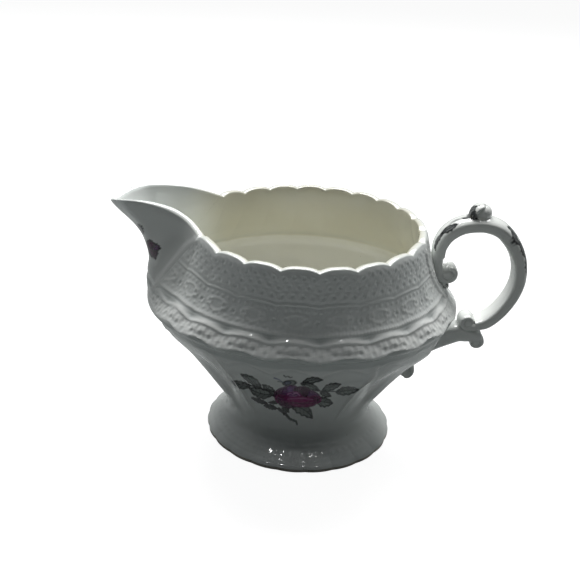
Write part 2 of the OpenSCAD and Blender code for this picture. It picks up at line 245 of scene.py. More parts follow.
def relief(x, t, z, r, w):
    """All surface ornament over the plain wall, outer face only."""
    s = np.abs(side(t))
    out = 1 - w
    rc, edge = relief_collar(t, z, r)
    on_collar = ease((seam_distance(x, z) - 0.7) / 1.2) * out
    d = np.where(z > COLLAR_Z - 2.2, rc, 0) * on_collar
    # undercut below the scalloped lower edge of the collar
    cut = (1 - ease((z - edge) / 0.6)) * ease((z - 55.4) / 3.6)
    d += -0.85 * cut * out * ease((150 - s) / 25)
    # swag line on the bowl, below the collar
    zs = 53.6 + 3.4 * arch(t)
    swag = (0.24 * bell(z - zs, 0.6) - 0.10 * bell(z - zs + 1.2, 0.9)) * ease((60 - z) / 2)
    d += swag * out
    # eight soft ribs from the waist to the collar
    f = fold(t)
    rib = bell(f - 29.2, 1.15) + bell(f - 60.8, 1.15)
    d += 0.50 * rib * ease((z - 17) / 12) * (1 - ease((z - 55.8) / 2.0)) * out
    # ridge where the spout is joined on
    d += 0.28 * bell(seam_distance(x, z) - 0.3, 0.7) * ease((s - 95) / 15) * ease((z - 61.5) / 2) * (1 - ease((z - 88.5) / 2)) * out
    # foot: scalloped edge, a row of pearls on the flare and soft lobes
    low = (1 - ease((z - 2.4) / 3.2))
    d += 0.42 * np.abs(np.sin(np.pi * place(t))) ** 0.8 * low * (z < WAIST_Z) * out
    du = cell(place(t), 3, 0.5, r * 0.92)
    d += (0.16 * bell(np.hypot(du, (z - 5.1) * 1.6), 0.75) - 0.10 * bell(z - 3.2, 0.35)) * (z < WAIST_Z) * out
    return d


def wall(z, r, w, t):
    """Points of the wall for profile rows (z, r, w) by angles t. w is 0 on the outer face and 1 on the inner."""
    z, r, w = (np.asarray(v, float)[:, None] for v in (z, r, w))
    t = np.asarray(t, float)[None, :]
    u = (z - BAND_Z) / (RIM_Z - BAND_Z)
    h = np.where(z <= BAND_Z, z, BAND_Z + u * (top_z(t) - BAND_Z))
    near_rim = np.where((u > 0.8) & (np.abs(side(t)) < JUNCTION), 0.5 * dip(t) * ease((u - 0.8) / 0.2) * (1 - w), 0)
    a = r + near_rim - (1 - 0.2 * w) * flute(t, z)
    s = swell(t, u, w)
    lean = curve(z, LEAN)
    x0 = lean + (a + s) * np.cos(rad(t))
    d = relief(x0, t, z, r, w)
    x = lean + (a + s + d) * np.cos(rad(t))
    y = ((a + d) * squash(z) + s) * np.sin(rad(t))
    return np.stack([x, y, h + 0 * x], -1), d * (1 - w) + 0 * x


def outer_rows(z):
    z = np.asarray(z, float)
    return z, curve(z, OUT), np.zeros_like(z)


def rim_rows(n=11):
    th = np.linspace(0, np.pi, n + 2)[1:-1]
    return 89.5 + 0.62 * np.sin(th), RIM_R - 1.4 + 1.3 * np.cos(th), (1 - np.cos(th)) / 2


def inner_rows(z):
    z = np.asarray(z, float)
    return z, curve(z, INN), np.ones_like(z)


def joined(*rows):
    return tuple(np.concatenate([r[i] for r in rows]) for i in range(3))


def columns(dense, n_dense, n_rest):
    """Angles round the wall, finer inside the given ranges of degrees."""
    t, at = [], 0.0
    for lo, hi in dense:
        if lo > at:
            k = max(2, int(round(n_rest * (lo - at) / 360)))
            t += list(np.linspace(at, lo, k, endpoint=False))
        k = int(round(n_dense * (hi - lo) / 360))
        t += list(np.linspace(lo, hi, k, endpoint=False))
        at = hi
    if at < 360:
        k = max(2, int(round(n_rest * (360 - at) / 360)))
        t += list(np.linspace(at, 360, k, endpoint=False))
    return np.array(t)


# ---------------------------------------------------------------- printed decoration
def srgb(r, g, b):
    return np.array([((v / 255 + 0.055) / 1.055) ** 2.4 if v > 10 else v / 255 / 12.92 for v in (r, g, b)])


DEEP_GREEN = srgb(62, 66, 68)
LEAF = srgb(124, 132, 128)
BLOOM_BLUE = srgb(126, 84, 148)
INK = srgb(20, 22, 26)
GREEN = srgb(104, 114, 110)
PALE = srgb(140, 150, 148)
ROSE = srgb(142, 12, 104)
DEEP = srgb(78, 12, 66)
VIOLET = srgb(104, 36, 112)
PINK = srgb(206, 146, 196)
BLUE = srgb(104, 110, 150)


class Print:
    """Flat artwork in mm, laid over vertices whose artwork coordinates are p, q."""

    def __init__(self, p, q):
        self.p, self.q = p, q
        self.rgb = np.zeros(p.shape + (3,))
        self.a = np.zeros(p.shape)
        self.soft = 0.16

    def lay(self, mask, colour, strength=1.0):
        k = np.clip(mask, 0, 1) * strength
        a = k + self.a * (1 - k)
        safe = np.maximum(a, 1e-6)
        self.rgb = (colour * k[..., None] + self.rgb * (self.a * (1 - k))[..., None]) / safe[..., None]
        self.a = a

    def edge(self, d):
        return ease(0.5 - d / (2 * self.soft))

    def stroke(self, pts, width, colour=INK, strength=0.9):
        pts = np.array(pts, float)
        best = np.full(self.p.shape, 1e9)
        n = len(pts) - 1
        for i in range(n):
            a, b = pts[i], pts[i + 1]
            ab = b - a
            u = np.clip(((self.p - a[0]) * ab[0] + (self.q - a[1]) * ab[1]) / (ab @ ab), 0, 1)
            dist = np.hypot(self.p - a[0] - u * ab[0], self.q - a[1] - u * ab[1])
            best = np.minimum(best, dist - width * 0.5 * (1 - 0.45 * (i + u) / n))
        self.lay(self.edge(best), colour, strength)

    def leaf(self, base, tip, width, bend=0.0, fill=GREEN, line=INK, veins=4, strength=0.85):
        base, tip = np.array(base, float), np.array(tip, float)
        ax = tip - base
        length = np.hypot(*ax)
        ax /= length
        u = ((self.p - base[0]) * ax[0] + (self.q - base[1]) * ax[1]) / length
        v = -(self.p - base[0]) * ax[1] + (self.q - base[1]) * ax[0]
        uc = np.clip(u, 0, 1)
        v = v - bend * 4 * uc * (1 - uc)
        half = width * 0.5 * np.sin(np.pi * uc ** 0.85) ** 0.75 * (1 + 0.10 * np.sin(uc * 26))
        over = np.maximum(-u, u - 1) * length
        d = np.where((u < 0) | (u > 1), np.hypot(over, v), np.abs(v) - half)
        self.lay(self.edge(d), fill, strength)
        shade = self.edge(d) * ease((v + 0.1) / 0.5)
        self.lay(shade, line, 0.30)
        for k in range(veins):
            c = (k + 0.7) / (veins + 0.6)
            dv = np.abs(u - c - np.abs(v) / length * 0.75) * length - 0.10
            self.lay(self.edge(np.maximum(dv, d)), line, 0.7)
        self.lay(self.edge(np.maximum(np.abs(v) - 0.14, d)), line, 0.9)
        self.lay(self.edge(np.abs(d + 0.16) - 0.26), line, strength)

    def petal(self, c, rx, ry, turn, colour, line=DEEP, strength=0.95, rim=0.5):
        ca, sa = math.cos(rad(turn)), math.sin(rad(turn))
        x = (self.p - c[0]) * ca + (self.q - c[1]) * sa
        y = -(self.p - c[0]) * sa + (self.q - c[1]) * ca
        rho = np.hypot(x / rx, y / ry)
        d = (rho - 1) * min(rx, ry)
        self.lay(self.edge(d), colour, strength)
        self.lay(self.edge(d) * ease((rho - 0.45) / 0.6), line, 0.55)
        self.lay(self.edge(np.abs(d + 0.1) - 0.14), line, rim)


def rose_spray(p, q):
    """A generic rose with bud and leaves, drawn in mm round its middle."""
    g = Print(p, q)
    # leaves and stems, behind the bloom
    g.leaf((-13.6, 3.5), (-21.0, 8.1), 2.4, -0.25, LEAF, INK, 5)
    g.leaf((-17.4, 3.8), (-24.0, 5.7), 2.6, 0.5, LEAF, INK, 4)
    g.leaf((-8.8, 1.8), (-13.4, 4.4), 2.0, 0.2, LEAF, INK, 3)
    g.leaf((-9.4, 1.0), (-18.0, 3.3), 3.6, 0.9, LEAF, INK, 5)
    g.stroke([(-9, 1.4), (-13.5, 3.0), (-18, 4.2), (-21, 4.9)], 0.6)
    g.leaf((-8.0, 0.6), (-11.0, 2.3), 1.8, 0.2, LEAF, INK, 2)
    g.leaf((-11.4, -2.4), (-17.0, -0.2), 1.4, 0.1, INK, INK, 1)
    g.stroke([(-16.8, -0.3), (-12.9, -1.9), (-10.4, -3.3), (-7.2, -4.3)], 0.75)
    g.leaf((-8.2, -4.2), (-12.8, -3.0), 1.6, -0.2, LEAF, INK, 2)
    g.leaf((-7.0, -1.7), (-11.2, -1.9), 1.2, 0.1, LEAF, INK, 1)
    g.leaf((0.4, 4.6), (8.2, 6.0), 2.2, 0.6, LEAF, INK, 3)
    g.leaf((0.2, 4.8), (6.9, 2.2), 2.3, 0.3, LEAF, INK, 3)
    g.stroke([(4.6, 2.4), (8, 2.0), (12.7, 1.9), (20.4, 2.5)], 0.5)
    g.leaf((7.6, 2.0), (14.5, 4.5), 2.5, 0.3, LEAF, INK, 4)
    g.leaf((7.0, 1.6), (11.0, 0.2), 1.9, 0.1, LEAF, INK, 2)
    g.leaf((12.6, 1.6), (20.8, 2.6), 2.9, 0.1, LEAF, INK, 5)
    g.stroke([(20.2, 2.5), (22.6, 3.8), (25.0, 5.6)], 0.25, INK, 0.5)
    g.leaf((5.6, -1.4), (11.6, -2.2), 3.5, 0.0, LEAF, INK, 3)
    g.leaf((-2.8, -3.2), (4.5, -7.5), 4.2, 1.0, LEAF, INK, 5)
    g.stroke([(-7.4, -4.2), (-5.0, -6.1), (-3.6, -7.7), (-1.4, -8.6), (-1.0, -9.6)], 1.1)
    g.stroke([(-5.5, -6.0), (-4.4, -4.4), (-3.4, -3.6)], 1.0)
    g.leaf((-6.4, -3.8), (-3.8, -5.4), 1.4, 0.2, LEAF, INK, 1)
    # bud above the bloom, with its small bracts
    g.petal((-3.7, 4.9), 2.5, 1.05, 4, LEAF, INK, 0.8, 0.5)
    g.petal((-4.4, 4.9), 1.4, 0.7, 8, BLUE, INK, 0.5, 0.3)
    g.stroke([(-5.7, 7.6), (-5.0, 7.0), (-4.4, 7.3)], 0.4, INK)
    g.stroke([(-4.1, 7.2), (-3.4, 6.8), (-2.7, 7.0)], 0.45, INK)
    g.stroke([(-9.1, 6.7), (-7.6, 6.2), (-6.2, 5.3)], 0.45, BLUE, 0.8)
    g.stroke([(-7.8, 5.5), (-6.4, 5.2), (-5.4, 4.6)], 0.35, INK, 0.6)
    # bloom: purple back petals, a dark heart, a broad magenta front petal with light turned edges
    for c, rx, ry, turn, col, line, rim in (
            ((-6.2, 1.0), 3.1, 2.3, 18, DEEP, DEEP, 0.4), ((-3.6, 2.2), 3.2, 2.0, 10, VIOLET, DEEP, 0.3),
            ((0.8, 1.9), 3.0, 1.8, -8, DEEP, DEEP, 0.4), ((4.2, 0.6), 3.2, 1.6, -20, VIOLET, DEEP, 0.6),
            ((-6.0, -1.0), 2.9, 1.7, -14, DEEP, ROSE, 0.3), ((-4.2, -2.4), 3.3, 1.5, -6, DEEP, DEEP, 0.3),
            ((0.9, -2.2), 4.8, 1.5, -1, ROSE, DEEP, 0.3), ((5.0, -1.0), 2.6, 1.5, 4, DEEP, ROSE, 0.3),
            ((-0.6, -0.9), 6.4, 1.7, -3, ROSE, DEEP, 0.2), ((-3.5, 2.0), 0.9, 1.9, 6, BLOOM_BLUE, VIOLET, 0.1),
            ((-2.2, 0.9), 2.6, 1.0, 4, VIOLET, ROSE, 0.2), ((1.7, 1.6), 1.3, 1.6, 0, DEEP, INK, 0.2)):
        g.petal(c, rx, ry, turn, col, line, rim=rim)
    for pts, wd, col, st in (
            ([(-4.3, 0.9), (-3.3, 1.3), (-2.4, 0.7)], 0.5, PINK, 0.8), ([(-2.1, 1.2), (-1.1, 1.4), (-0.1, 0.5)], 0.6, PINK, 0.85),
            ([(-3.6, 0.4), (-2.2, 0.2), (-1.0, 0.5)], 0.4, PINK, 0.6), ([(-4.2, -0.7), (-1.0, -0.5), (2.2, -0.6), (4.4, -0.9)], 0.55, PINK, 0.45),
            ([(-7.4, -0.4), (-6.2, -0.9), (-4.8, -1.2)], 0.4, VIOLET, 0.7), ([(3.4, 1.9), (4.8, 1.2), (6.2, 0.2)], 0.4, DEEP, 0.7),
            ([(-3.6, -1.8), (-0.4, -2.2), (3.4, -2.0)], 0.4, DEEP, 0.6)):
        g.stroke(pts, wd, col, st)
    return g


def artwork_coordinates(P, flip):
    """Where a point falls on the flat artwork, seen from in front and above (flip: from behind)."""
    Q = P * np.array([1.0, -1.0 if flip else 1.0, 1.0])
    d = Q - EYE
    depth = -(d @ BACK)
    sx, sy = 676 * (d @ RIGHT) / depth, 676 * (d @ UP) / depth
    return (sx - 10.0) / 2.84, (sy + 107.0) / 2.84


def paint_bowl(P):
    rgb, a = np.zeros(P.shape), np.zeros(P.shape[:-1])
    for flip in (False, True):
        near = (P[..., 1] > 0) if flip else (P[..., 1] < 0)
        p, q = artwork_coordinates(P, flip)
        g = rose_spray(p, q)
        k = g.a * near
        rgb = np.where((k > 0)[..., None], g.rgb, rgb)
        a = np.maximum(a, k)
    return rgb, a


def paint_spout(P):
    rgb, a = np.zeros(P.shape), np.zeros(P.shape[:-1])
    for flip in (False, True):
        near = (P[..., 1] > 0) if flip else (P[..., 1] <= 0)
        p, q = artwork_coordinates(P, flip)
        g = Print(p, q)
        g.leaf((-53.6, 55.4), (-50.8, 48.4), 3.8, 0.3, DEEP, INK, 3, 0.95)
        g.leaf((-52.4, 53.0), (-49.0, 52.2), 2.6, 0.1, VIOLET, INK, 2, 0.95)
        g.petal((-52.6, 53.6), 1.5, 1.3, 0, DEEP, INK)
        g.stroke([(-57.0, 60.4), (-55.8, 59.2), (-55.2, 57.6)], 1.1)
        g.leaf((-57.2, 60.8), (-55.2, 57.2), 2.0, 0.0, DEEP_GREEN, INK, 1)
        k = g.a * near
        rgb = np.where((k > 0)[..., None], g.rgb, rgb)
        a = np.maximum(a, k)
    return rgb, a


# ---------------------------------------------------------------- mesh makers
def new_mesh(name, V, F, layers, smooth_angle=55):
    me = bpy.data.meshes.new(name)
    V = np.asarray(V, np.float64) * MM
    tri = [f for f in F if len(f[0]) == 3]
    me.from_pydata([], [], [])
    sizes = np.concatenate([np.full(len(f), f.shape[1]) for f in F])
    loops = np.concatenate([f.ravel() for f in F])
    me.vertices.add(len(V))
    me.vertices.foreach_set("co", V.ravel())
    me.loops.add(len(loops))
    me.loops.foreach_set("vertex_index", loops.astype(np.int32))
    me.polygons.add(len(sizes))
    starts = np.concatenate([[0], np.cumsum(sizes)[:-1]])
    me.polygons.foreach_set("loop_start", starts.astype(np.int32))
    me.update(calc_edges=True)
    me.validate()
    for key, val in layers.items():
        if val.ndim == 2:
            at = me.attributes.new(key, "FLOAT_COLOR", "POINT")
            at.data.foreach_set("color", np.ascontiguousarray(val, np.float32).ravel())
        else:
            at = me.attributes.new(key, "FLOAT", "POINT")
            at.data.foreach_set("value", np.ascontiguousarray(val, np.float32).ravel())
    me.shade_smooth()
    me.set_sharp_from_angle(angle=math.radians(smooth_angle))
    ob = bpy.data.objects.new(name, me)
    scene.collection.objects.link(ob)
    return ob


def grid_faces(rows, cols, close_rows=False, first=0):
    r = np.arange(rows if close_rows else rows - 1)
    c = np.arange(cols)
    R, C = np.meshgrid(r, c, indexing="ij")
    R2, C2 = (R + 1) % rows, (C + 1) % cols
    return first + np.stack([R * cols + C, R * cols + C2, R2 * cols + C2, R2 * cols + C], -1).reshape(-1, 4)


def fan(ring_start, cols, pole, flip):
    c = np.arange(cols)
    f = np.stack([ring_start + c, ring_start + (c + 1) % cols, np.full(cols, pole)], -1)
    return f[:, ::-1] if flip else f


def pole_grid(name, P, start, end, layers):
    """A closed skin from a grid of rings between two poles. Rings run from start to end, outward faces by right hand."""
    rows, cols = P.shape[:2]
    V = np.concatenate([P.reshape(-1, 3), [start, end]])
    n = rows * cols
    F = [grid_faces(rows, cols), fan(0, cols, n, True), fan((rows - 1) * cols, cols, n + 1, False)]
    full = {k: np.concatenate([v.reshape((n,) + v.shape[2:]), np.repeat(v.reshape((n,) + v.shape[2:])[-1:], 2, 0) * 0
                               + (v[0].mean(0), v[-1].mean(0))]) for k, v in layers.items()}
    return new_mesh(name, V, F, full)


def ring_layers(P, w, d, paint=None):
    inside = np.broadcast_to(np.asarray(w)[:, None], P.shape[:2]).astype(float)
    rgb, a = paint(P) if paint else (np.zeros(P.shape), np.zeros(P.shape[:2]))
    a = a * (1 - inside)
    zz = P[..., 2]
    # painted light and shade inside: the lower inner wall is painted lighter, and a dark line of painted shade runs
    # along the inner ledge where the collar's inner wall meets the shoulder hollow
    painted_inner_light_and_ledge_shade = inside * (0.45 * ease((67.0 - zz) / 1.6) * ease((zz - 30) / 14) - 0.26 * bell(zz - 68.2, 0.9))
    # painted light on the dimpled band, and painted shade in the cove over it
    tone = (1 - inside) * (0.22 * ease((zz - 61.6) / 1.0) * (1 - ease((zz - 65.2) / 1.0)) - 0.26 * bell(zz - 67.3, 1.0))
    # the cream glaze fades out toward the lip
    cream = inside * ease((P[..., 0] + 48) / 16)
    # relief height gives painted shade in the hollows (partly glaze pooling) and a painted highlight on raised parts,
    # with the painted light and shade above added on
    return {"cream": cream, "pooling_and_painted_light": d * np.where(zz < WAIST_Z, 0.2, 1.0) + painted_inner_light_and_ledge_shade + tone * (zz > COLLAR_Z), "ink": np.concatenate([rgb, a[..., None]], -1)}


# ---------------------------------------------------------------- pieces of the pot
fine = 1.0

# foot: flare, underside and the disc that meets the bowl
t_foot = np.linspace(0, 360, int(660 * fine), endpoint=False)
und = joined((np.array([11.0, 10.2, 9.2, 7.4, 5.6, 4.0, 2.6, RING_H]),
              np.array([WAIST - 17, WAIST - 8, WAIST - 5.8, WAIST - 3.6, WAIST - 1.4, WAIST + 0.6, WAIST + 2.4, FOOT - 0.2 - RING_W]),
              np.ones(8)))
zf = np.concatenate([np.linspace(RING_H, 6.5, int(26 * fine)), np.linspace(6.8, WAIST_Z, int(20 * fine))])
rows = joined(und, outer_rows(zf))
P, D = wall(*rows, t_foot)
edge_round = np.clip((RING_H + 0.5 - P[..., 2]) / 0.5, 0, 1) * (rows[2][:, None] < 0.5)
lay = ring_layers(P, rows[2] * 0, D)
foot = pole_grid("foot_flared_base", P, (0, 0, 11.2), (rows[0][-1] * 0 - 0.4, 0, WAIST_Z), lay)

# bowl: outer wall, top edge, inner wall and floor
t_bowl = columns((((56, 124), (236, 304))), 1130 * fine, 430 * fine)
zb = np.concatenate([np.linspace(WAIST_Z, 23, int(14 * fine), endpoint=False), np.linspace(23, 50, int(82 * fine), endpoint=False),
                     np.linspace(50, COLLAR_Z, int(26 * fine))])
zi = np.concatenate([np.linspace(COLLAR_Z, 22, int(20 * fine)), [19.8, 18.4, 17.6, 17]])
rows = joined(outer_rows(zb), inner_rows(zi))
P, D = wall(*rows, t_bowl)
floor_rows = []
for k, zk in ((0.72, 16.9), (0.42, 16.75)):
    ring = P[-1].copy()
    ring[:, 0] = (ring[:, 0] + 0.4) * k - 0.4
    ring[:, 1] *= k
    ring[:, 2] = zk
    floor_rows.append(ring)
P = np.concatenate([P, np.array(floor_rows)])
D = np.concatenate([D, D[-2:] * 0])
lay = ring_layers(P, np.concatenate([rows[2], [1, 1]]), D, paint_bowl)
bowl = pole_grid("bowl_lower_body", P, (-0.4, 0, WAIST_Z), (-0.4, 0, 16.65), lay)

# collar and spout: one ring cut in two by the joint plane
t_collar = np.linspace(0, 360, int(880 * fine), endpoint=False)
zc = np.concatenate([np.linspace(COLLAR_Z, 69.5, int(34 * fine), endpoint=False), np.linspace(69.5, 87.6, int(50 * fine), endpoint=False),
                     np.linspace(87.6, 89.4, 6)])
zi = np.concatenate([np.linspace(89.3, COLLAR_Z, int(16 * fine))])
rows = joined(outer_rows(zc), rim_rows(9), inner_rows(zi))
P, D = wall(*rows, t_collar)
lay = ring_layers(P, rows[2], D, paint_spout)
n = P.shape[0] * P.shape[1]
both = new_mesh("collar_all", P.reshape(-1, 3), [grid_faces(P.shape[0], P.shape[1], True)],
                {k: v.reshape((n,) + v.shape[2:]) for k, v in lay.items()})


def half(source, name, collar_side):
    bm = bmesh.new()
    bm.from_mesh(source.data)
    co = (-36 * MM, 0, 90.6 * MM)
    no = np.array([28, 0, -22]) / 35.6
    no = no if not collar_side else -no
    geom = bm.verts[:] + bm.edges[:] + bm.faces[:]
    bmesh.ops.bisect_plane(bm, geom=geom, dist=1e-7, plane_co=co, plane_no=no, clear_outer=True)
    open_edges = [e for e in bm.edges if e.is_boundary]
    bmesh.ops.holes_fill(bm, edges=open_edges, sides=0)
    loose = [v for v in bm.verts if not v.link_faces]
    bmesh.ops.delete(bm, geom=loose, context="VERTS")
    me = bpy.data.meshes.new(name)
    bm.to_mesh(me)
    bm.free()
    me.shade_smooth()
    me.set_sharp_from_angle(angle=math.radians(55))
    ob = bpy.data.objects.new(name, me)
    scene.collection.objects.link(ob)
    return ob


collar = half(both, "collar_relief_band", True)
spout = half(both, "spout_lip", False)
bpy.data.objects.remove(both, do_unlink=True)

# foot ring: the bare edge that the jug stands on
th = np.linspace(0, 2 * np.pi, 25)[:-1]
cr, cz, hr, hz = FOOT - 0.2 - RING_W / 2, RING_H / 2, RING_W / 2, RING_H / 2
rr = cr + hr * np.sign(np.cos(th)) * np.abs(np.cos(th)) ** 0.45
rz = cz + hz * np.sign(np.sin(th)) * np.abs(np.sin(th)) ** 0.45
t_ring = np.linspace(0, 360, int(440 * fine), endpoint=False)
lobe = 0.42 * np.abs(np.sin(np.pi * place(t_ring))) ** 0.8
outw = np.clip(np.cos(th), 0, 1)[:, None]
R = rr[:, None] + outw * lobe[None, :]
P = np.stack([R * np.cos(rad(t_ring)), R * np.sin(rad(t_ring)) * OVAL, np.repeat(rz[:, None], len(t_ring), 1)], -1)
n = P.shape[0] * P.shape[1]
ring = new_mesh("foot_ring_bare", P.reshape(-1, 3), [grid_faces(P.shape[0], P.shape[1], True)], {"pooling_and_painted_light": np.zeros(n)})


# ---------------------------------------------------------------- handle
def along(K, n):
    """Stations along a rod list [i, x, z, h, w]: centre, outward normal and half sizes."""
    K = np.array(K, float)
    i = np.linspace(0, K[-1, 0], n)
    x, z, h, w = (curve(i, K, c) for c in (1, 2, 3, 4))
    tx, tz = np.gradient(x), np.gradient(z)
    ln = np.hypot(tx, tz)
    s = np.concatenate([[0], np.cumsum(np.hypot(np.diff(x), np.diff(z)))])
    return x, z, -tz / ln, tx / ln, h, w, s


def strap(phi, h, w, flat=0.42, crown=0.5, groove=0.0):
    """Cross-section of the handle strap: crowned outer face with a crisp edge, upright sides, flat inner face."""
    c, s = np.cos(phi), np.sin(phi)
    yy = w * np.sign(c) * np.abs(c) ** flat
    up = s >= 0
    ramp_up = np.abs(s) ** flat
    nn = np.where(up, h * (1 - crown) * ramp_up + crown * h * (1 - (yy / w) ** 2), -h * ramp_up)
    nn = nn - groove * h * bell(yy / w, 0.28) * up
    return nn, yy


def rod(K, n, m, section=strap, round_ends=(0.0, 0.0), paint=None, ripple=0.0, **kw):
    x, z, nx, nz, h, w, s = along(K, n)
    k = np.ones(n)
    total = s[-1]
    for e, dist in ((round_ends[0], s), (round_ends[1], total - s)):
        if e > 0:
            q = np.clip(dist / e, 0, 1)
            k *= np.sqrt(np.clip(1 - (1 - q) ** 2, 0.0004, 1))
    phi = np.linspace(0, 2 * np.pi, m, endpoint=False)
    nn, yy = section(phi[None, :], (h * k)[:, None], (w * k)[:, None], **kw)
    if ripple:
        nn = nn + ripple * bell(yy / w[:, None], 0.5) * np.sin(s[:, None] * 1.9) * (np.sin(phi)[None, :] > 0)
    P = np.stack([x[:, None] + nx[:, None] * nn, yy, z[:, None] + nz[:, None] * nn], -1)
    S = np.repeat(s[:, None], m, 1)
    if paint:
        rgb, a = paint(S, yy, np.sin(phi)[None, :] + 0 * S)
    else:
        rgb, a = np.zeros(P.shape), np.zeros(S.shape)
    return P, np.concatenate([rgb, a[..., None]], -1)


def ball(c, r, ry, m=40, n=28, turn=0.0, dimple=0.0):
    """A button: round in the handle's plane, r by r, ry half wide, with a soft dimple at its centre."""
    th = np.linspace(0, np.pi, n + 2)[1:-1]
    ph = np.linspace(0, 2 * np.pi, m, endpoint=False)
    rr = r * np.sin(th) ** 0.92
    yy = -ry * np.cos(th)
    yy = yy - np.sign(yy) * dimple * bell(rr / r, 0.3)
    P = np.stack([c[0] + rr[:, None] * np.cos(ph), np.repeat(yy[:, None], m, 1) + c[1], c[2] + rr[:, None] * np.sin(ph)], -1)
    return P, np.zeros(P.shape[:2] + (4,))


def spiral(c, r0, r1, a0, sweep, h0, h1, w0, w1, n=64, m=36, **kw):
    """A strap wound into a volute about c: the path runs from radius r0 at angle a0 to r1, sweeping by the signed angle."""
    u = np.linspace(0, 1, 15)
    ang = rad(a0 + sweep * u)
    rr = r0 + (r1 - r0) * u
    K = [[i, c[0] + rr[i] * math.cos(ang[i]), c[1] + rr[i] * math.sin(ang[i]), h0 + (h1 - h0) * u[i], w0 + (w1 - w0) * u[i]]
         for i in range(15)]
    return rod(K, n, m, **kw)


def handle_piece(name, parts):
    """Joins swept grids into one mesh, each closed at both ends."""
    V, F, inks, start = [], [], [], 0
    for P, ink in parts:
        rows, cols = P.shape[:2]
        n = rows * cols
        V.append(np.concatenate([P.reshape(-1, 3), [P[0].mean(0), P[-1].mean(0)]]))
        grid = grid_faces(rows, cols, False, start)
        f = [grid, fan(start, cols, start + n, True), fan(start + (rows - 1) * cols, cols, start + n + 1, False)]
        a, b, c = (P[rows // 2, j] for j in (0, cols // 3, 2 * cols // 3))
        # turn the skin outward
        vol = 0.0
        W = P.reshape(-1, 3) - P.reshape(-1, 3).mean(0)
        q = grid - start
        v0, v1, v2, v3 = (W[q[:, i]] for i in range(4))
        vol = (np.einsum("ij,ij->i", v0, np.cross(v1, v2)) + np.einsum("ij,ij->i", v0, np.cross(v2, v3))).sum()
        if vol < 0:
            f = [g[:, ::-1] for g in f]
        F += f
        inks.append(np.concatenate([ink.reshape(n, 4), np.zeros((2, 4))]))
        start += n + 2
    quads = np.concatenate([f for f in F if f.shape[1] == 4])
    tris = np.concatenate([f for f in F if f.shape[1] == 3])
    V, ink = np.concatenate(V), np.concatenate(inks)
    return new_mesh(name, V, [quads, tris], {"cream": np.zeros(len(V)), "pooling_and_painted_light": np.zeros(len(V)), "ink": ink}, 60)


LOOP = [[0, 48.2, 80.5, 2.3, 4.0], [1, 48.3, 84.4, 2.5, 4.2], [2, 49.9, 88.4, 2.7, 4.4], [3, 52.4, 91.1, 2.8, 4.6],
        [4, 55.5, 92.9, 2.8, 4.7], [5, 59.7, 93.8, 2.8, 4.7], [6, 64.1, 93.8, 2.8, 4.7], [7, 69.1, 92, 2.8, 4.6],
        [8, 73.3, 88, 2.8, 4.5], [9, 76.7, 82.8, 2.7, 4.4], [10, 78.5, 77.6, 2.6, 4.3], [11, 79, 72, 2.6, 4.3],
        [12, 78, 66.7, 2.6, 4.3], [13, 75.9, 61.8, 2.6, 4.4], [14, 73.1, 57.5, 2.6, 4.4], [15, 69.7, 54.2, 2.6, 4.4],
        [16, 66.2, 52.8, 2.3, 4.2]]
SCROLL = [[0, 48.2, 83, 2.1, 4.0], [1, 48.2, 79, 2.2, 4.0], [2, 48.7, 75.4, 2.2, 3.9], [3, 50.0, 72.6, 1.9, 3.8],
          [4, 52.2, 71.3, 1.3, 3.7], [5, 54.5, 72.2, 1.2, 3.6], [6, 55.1, 74.3, 1.1, 3.5], [7, 53.9, 75.9, 1.0, 3.4],
          [8, 52.2, 75.5, 0.9, 3.3]]
STRUT = [[0, 69.3, 46.9, 2, 3.4], [1, 66.5, 47.7, 2.6, 3.6], [2, 63.4, 48.2, 3.2, 3.8], [3, 59.6, 48.5, 4.0, 4],
         [4, 55, 46.5, 4.1, 4], [5, 50.3, 43.4, 3.7, 3.8], [6, 46.3, 39.7, 3.1, 3.6], [7, 43, 35.4, 2.8, 3.2],
         [8, 41.7, 31.4, 2.2, 2.8]]


def paint_loop(s, y, up):
    g = Print(s, y)
    g.soft = 0.22
    g.leaf((3.0, -2.6), (9.6, -3.0), 1.7, 0.3, DEEP_GREEN, INK, 2)
    g.leaf((8.2, -2.4), (14.2, -3.2), 2.2, -0.3, DEEP_GREEN, INK, 3)
    g.stroke([(2.0, -3.4), (5.6, -2.6), (10, -1.8), (15.2, -1.2), (19.4, -0.8)], 0.55)
    g.leaf((15.6, -1.4), (21.2, -2.7), 2.3, 0.3, DEEP_GREEN, INK, 3)
    g.leaf((16.6, 0.4), (22.0, 2.2), 1.9, -0.2, DEEP_GREEN, INK, 3)
    g.stroke([(30.4, -2.4), (35, -2.6), (41, -2.2), (48.0, -2.6)], 0.6)
    g.leaf((29.8, -2.6), (35.6, -1.2), 2.4, 0.3, GREEN, INK, 4)
    g.leaf((31.4, -2.8), (37.6, -3.6), 2.2, -0.2, DEEP_GREEN, INK, 3)
    g.leaf((36.2, -2.6), (42.4, -3.6), 2.3, 0.2, DEEP_GREEN, INK, 4)
    g.leaf((37.8, -1.6), (43.8, 0.6), 2.2, 0.2, DEEP_GREEN, INK, 3)
    g.leaf((41.8, -2.6), (49.4, -3.2), 2.7, 0.3, DEEP_GREEN, INK, 4)
    g.leaf((60.8, -2.6), (64.8, -3.4), 1.9, 0.2, DEEP_GREEN, INK, 1)
    return g.rgb, g.a * ease((up + 0.06) / 0.05)


loop = handle_piece("handle_loop_strap", [rod(LOOP, int(420 * fine), 120, paint=paint_loop)])


def paint_nub(s, y, up):
    g = Print(s, y)
    g.leaf((0.3, 0), (5.8, 0.2), 3.4, 0.2, GREEN, INK, 3)
    g.leaf((1.6, -1.5), (5.2, -0.6), 1.8, 0.1, GREEN, INK, 1)
    return g.rgb, g.a


